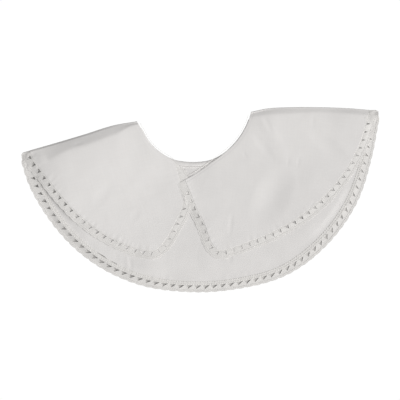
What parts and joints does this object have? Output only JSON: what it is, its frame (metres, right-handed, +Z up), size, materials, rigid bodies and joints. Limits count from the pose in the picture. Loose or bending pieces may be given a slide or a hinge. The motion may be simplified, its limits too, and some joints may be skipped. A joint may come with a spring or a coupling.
{
  "type": "detachable collar",
  "caption": "Wide round-necked cotton collar with a narrow lace edge, folded at both shoulders and laid flat with its fronts on its back.",
  "frame": {"origin": "middle of the bounding box at its lowest level, on the surface that the collar lies on", "axes": "seen from above, +X to the right along the spread of the shoulders and +Y from the hem to the shoulder folds; +Z up off the surface"},
  "size_m": [0.4475, 0.2325, 0.0059],
  "materials": {
    "cotton_fronts": "plain-woven white cotton, matt, lightly crumpled",
    "cotton_back": "plain-woven white cotton seen from its inner side, matt, lightly crumpled",
    "cotton_binding": "white cotton tape turned over the neck edge, matt",
    "cotton_lace": "off-white cotton lace with slanting holes and a small scallop at each, matt"
  },
  "bodies": {
    "root": {"back_panel": "cotton_back", "back_neck_binding": "cotton_binding", "back_lace": "cotton_lace", "left_front": "cotton_fronts", "left_front_lace": "cotton_lace", "right_front": "cotton_fronts", "right_front_lace": "cotton_lace"}
  },
  "joints": []
}
